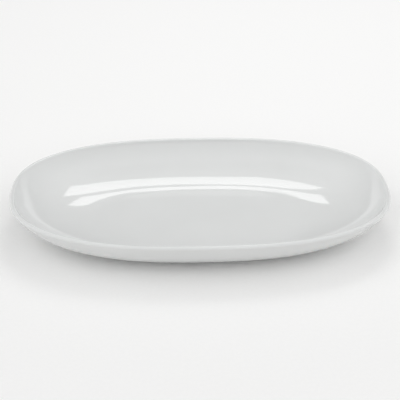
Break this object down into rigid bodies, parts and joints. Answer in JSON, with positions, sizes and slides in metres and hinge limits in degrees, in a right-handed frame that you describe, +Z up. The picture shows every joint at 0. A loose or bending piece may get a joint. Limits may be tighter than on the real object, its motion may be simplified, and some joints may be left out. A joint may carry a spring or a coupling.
{
  "type": "oval serving platter",
  "caption": "Oval coupe serving platter in glazed white porcelain: flat well, wall curving up to a round lip, low foot ring with a bare standing face.",
  "frame": {"origin": "middle of the platter, on the plane that its foot ring stands on", "axes": "+X along the length, +Y across the width, +Z up out of the well"},
  "size_m": [0.38, 0.22, 0.0433],
  "materials": {
    "bare_porcelain": "unglazed fired porcelain, fine and matte",
    "white_glaze": "clear gloss glaze on white porcelain",
    "base_glaze": "clear gloss glaze on white porcelain, thinner and slightly wavy"
  },
  "bodies": {
    "root": {"porcelain_body": "bare_porcelain", "glaze_coat": "white_glaze", "base_glaze": "base_glaze"}
  },
  "joints": []
}
